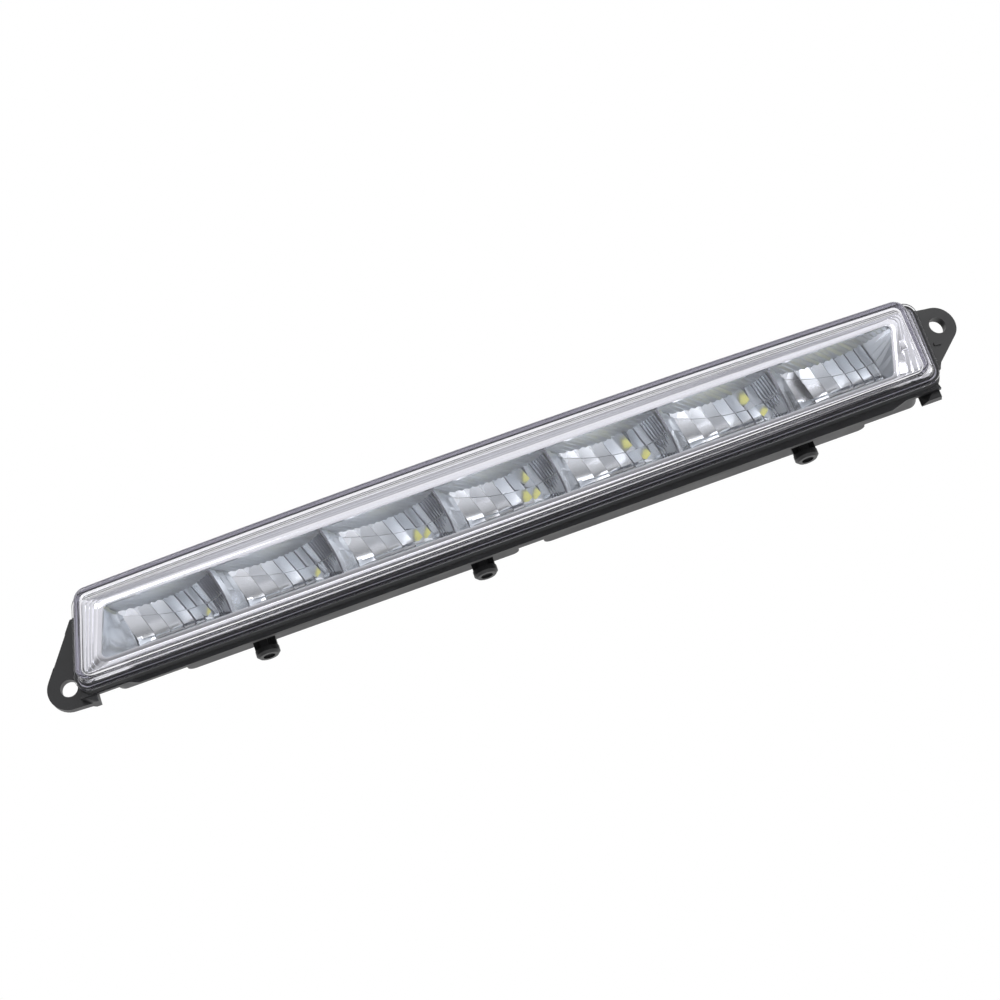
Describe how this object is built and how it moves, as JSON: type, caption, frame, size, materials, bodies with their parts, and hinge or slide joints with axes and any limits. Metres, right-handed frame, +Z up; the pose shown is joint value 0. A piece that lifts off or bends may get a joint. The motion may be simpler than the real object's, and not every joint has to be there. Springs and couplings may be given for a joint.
{
  "type": "daytime running light",
  "caption": "Long clear-lensed daytime running light for a bumper corner, with faceted chrome reflector cells in a black housing with two fixing ears and three pegs.",
  "frame": {"origin": "axis of the left ear's fixing hole, at the ear's rear face", "axes": "+X along the lamp to the right as seen from the front, +Y back into the car, +Z up; the lens faces -Y"},
  "size_m": [0.3835, 0.0583, 0.0467],
  "materials": {
    "clear_plastic": "clear polished",
    "black_plastic": "matt moulded",
    "metallised": "mirror coated plastic",
    "adhesive": "cured bead",
    "board": "white solder mask",
    "pad": "soft filled silicone",
    "sheet": "mill finish sheet",
    "phosphor": "yellow phosphor",
    "component_black": "moulded",
    "ferrite": "dull",
    "can": "bright can",
    "socket_plastic": "fine moulded",
    "seal": "soft silicone",
    "contact": "bright",
    "membrane": "porous film",
    "screw_steel": "zinc plated"
  },
  "bodies": {
    "root": {"outer_lens": "clear_plastic", "lens_seal": "adhesive", "housing": "black_plastic", "bezel": "metallised", "reflector": "metallised", "circuit_board": "board", "thermal_pad": "pad", "heat_sink": "sheet", "led_1": "phosphor", "led_2": "phosphor", "led_3": "phosphor", "led_4": "phosphor", "led_5": "phosphor", "led_6": "phosphor", "led_7": "phosphor", "choke": "ferrite", "driver_chip": "component_black", "diode": "component_black", "capacitor_1": "can", "capacitor_2": "can", "resistor_1": "component_black", "resistor_2": "component_black", "resistor_3": "component_black", "connector_socket": "socket_plastic", "socket_seal": "seal", "terminal_1": "contact", "terminal_2": "contact", "vent_membrane": "membrane", "vent_cap": "component_black", "board_screws": "screw_steel", "reflector_screws": "screw_steel"}
  },
  "joints": []
}
